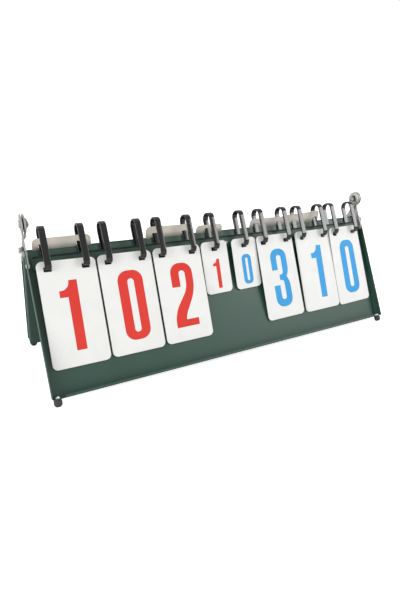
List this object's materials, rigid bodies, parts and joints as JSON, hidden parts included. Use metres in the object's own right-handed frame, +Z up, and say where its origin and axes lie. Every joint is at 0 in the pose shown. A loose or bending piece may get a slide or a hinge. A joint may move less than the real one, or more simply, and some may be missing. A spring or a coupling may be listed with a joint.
{
  "type": "tabletop scoreboard",
  "caption": "Tabletop flip-card scoreboard: two hinged sheet-steel trays stand as an A-frame and the front one carries numbered cards on rings along its top.",
  "frame": {"origin": "centre of the bounding box in plan, on the surface that the feet stand on", "axes": "+X to the right along the trays, +Y from the front tray to the back tray, +Z up"},
  "size_m": [0.609, 0.2036, 0.228],
  "materials": {
    "beige_card": "matt beige card backs",
    "black_plastic": "satin black moulded plastic",
    "black_rubber": "matt black rubber",
    "dark_fibre": "dark fibre spacer",
    "green_paint": "semi-gloss dark green powder coat on sheet steel",
    "nickel_steel": "nickel-plated steel",
    "rail_paint": "semi-gloss dark green powder coat on sheet steel",
    "white_card": "satin white card"
  },
  "bodies": {
    "front": {"front_arm_left": "nickel_steel", "front_arm_right": "nickel_steel", "front_foot_left": "black_rubber", "front_foot_right": "black_rubber", "front_foot_screw_left": "nickel_steel", "front_foot_screw_right": "nickel_steel", "front_rivet_left": "nickel_steel", "front_rivet_right": "nickel_steel", "front_stud_left": "nickel_steel", "front_stud_right": "nickel_steel", "front_tray": "green_paint", "pivot_bolt_left": "nickel_steel", "pivot_bolt_right": "nickel_steel", "pivot_nut_left": "nickel_steel", "pivot_nut_right": "nickel_steel", "pivot_spacer_left": "dark_fibre", "pivot_spacer_right": "dark_fibre", "rail_rivet_left": "nickel_steel", "rail_rivet_middle": "nickel_steel", "rail_rivet_right": "nickel_steel", "ring_1": "black_plastic", "ring_10": "black_plastic", "ring_11": "black_plastic", "ring_12": "black_plastic", "ring_13": "black_plastic", "ring_14": "black_plastic", "ring_2": "black_plastic", "ring_3": "black_plastic", "ring_4": "black_plastic", "ring_5": "black_plastic", "ring_6": "black_plastic", "ring_7": "black_plastic", "ring_8": "black_plastic", "ring_9": "black_plastic", "ring_rail": "rail_paint"},
    "back": {"back_arm_left": "nickel_steel", "back_arm_right": "nickel_steel", "back_foot_left": "black_rubber", "back_foot_right": "black_rubber", "back_foot_screw_left": "nickel_steel", "back_foot_screw_right": "nickel_steel", "back_rivet_left": "nickel_steel", "back_rivet_right": "nickel_steel", "back_stud_left": "nickel_steel", "back_stud_right": "nickel_steel", "back_tray": "green_paint"},
    "card_stack_1": {"card_stack_1": "white_card"},
    "card_stack_2": {"card_stack_2": "white_card"},
    "card_stack_3": {"card_stack_3": "white_card"},
    "card_stack_4": {"card_stack_4": "white_card"},
    "card_stack_5": {"card_stack_5": "white_card"},
    "card_stack_6": {"card_stack_6": "white_card"},
    "card_stack_7": {"card_stack_7": "white_card"},
    "card_stack_8": {"card_stack_8": "white_card"},
    "flipped_stack_1": {"flipped_stack_1": "beige_card"},
    "flipped_stack_2": {"flipped_stack_2": "beige_card"},
    "flipped_stack_3": {"flipped_stack_3": "beige_card"},
    "flipped_stack_4": {"flipped_stack_4": "beige_card"},
    "flipped_stack_5": {"flipped_stack_5": "beige_card"}
  },
  "joints": [
    {"name": "fold", "type": "hinge", "parent": "front", "child": "back", "pos_m": [0, 0, 0.21556], "axis": [1, 0, 0], "range_deg": [0, 307.5]},
    {"name": "card_1_swing", "type": "hinge", "parent": "front", "child": "card_stack_1", "pos_m": [-0.2524, -0.02647, 0.16721], "axis": [1, 0, 0], "range_deg": [-85, 0]},
    {"name": "card_2_swing", "type": "hinge", "parent": "front", "child": "card_stack_2", "pos_m": [-0.1727, -0.02647, 0.16721], "axis": [1, 0, 0], "range_deg": [-85, 0]},
    {"name": "card_3_swing", "type": "hinge", "parent": "front", "child": "card_stack_3", "pos_m": [-0.093, -0.02647, 0.16721], "axis": [1, 0, 0], "range_deg": [-85, 0]},
    {"name": "card_4_swing", "type": "hinge", "parent": "front", "child": "card_stack_4", "pos_m": [-0.02815, -0.02647, 0.16721], "axis": [1, 0, 0], "range_deg": [-85, 0]},
    {"name": "card_5_swing", "type": "hinge", "parent": "front", "child": "card_stack_5", "pos_m": [0.02645, -0.02647, 0.16721], "axis": [1, 0, 0], "range_deg": [-85, 0]},
    {"name": "card_6_swing", "type": "hinge", "parent": "front", "child": "card_stack_6", "pos_m": [0.0888, -0.02647, 0.16721], "axis": [1, 0, 0], "range_deg": [-85, 0]},
    {"name": "card_7_swing", "type": "hinge", "parent": "front", "child": "card_stack_7", "pos_m": [0.1709, -0.02647, 0.16721], "axis": [1, 0, 0], "range_deg": [-85, 0]},
    {"name": "card_8_swing", "type": "hinge", "parent": "front", "child": "card_stack_8", "pos_m": [0.2474, -0.02647, 0.16721], "axis": [1, 0, 0], "range_deg": [-85, 0]},
    {"name": "flipped_1_swing", "type": "hinge", "parent": "front", "child": "flipped_stack_1", "pos_m": [-0.2524, -0.00251, 0.18578], "axis": [1, 0, 0], "range_deg": [0, 12]},
    {"name": "flipped_2_swing", "type": "hinge", "parent": "front", "child": "flipped_stack_2", "pos_m": [-0.093, -0.00251, 0.18578], "axis": [1, 0, 0], "range_deg": [0, 12]},
    {"name": "flipped_3_swing", "type": "hinge", "parent": "front", "child": "flipped_stack_3", "pos_m": [-0.02815, -0.00251, 0.18578], "axis": [1, 0, 0], "range_deg": [0, 12]},
    {"name": "flipped_4_swing", "type": "hinge", "parent": "front", "child": "flipped_stack_4", "pos_m": [0.0888, -0.00251, 0.18578], "axis": [1, 0, 0], "range_deg": [0, 12]},
    {"name": "flipped_5_swing", "type": "hinge", "parent": "front", "child": "flipped_stack_5", "pos_m": [0.1709, -0.00251, 0.18578], "axis": [1, 0, 0], "range_deg": [0, 12]}
  ]
}
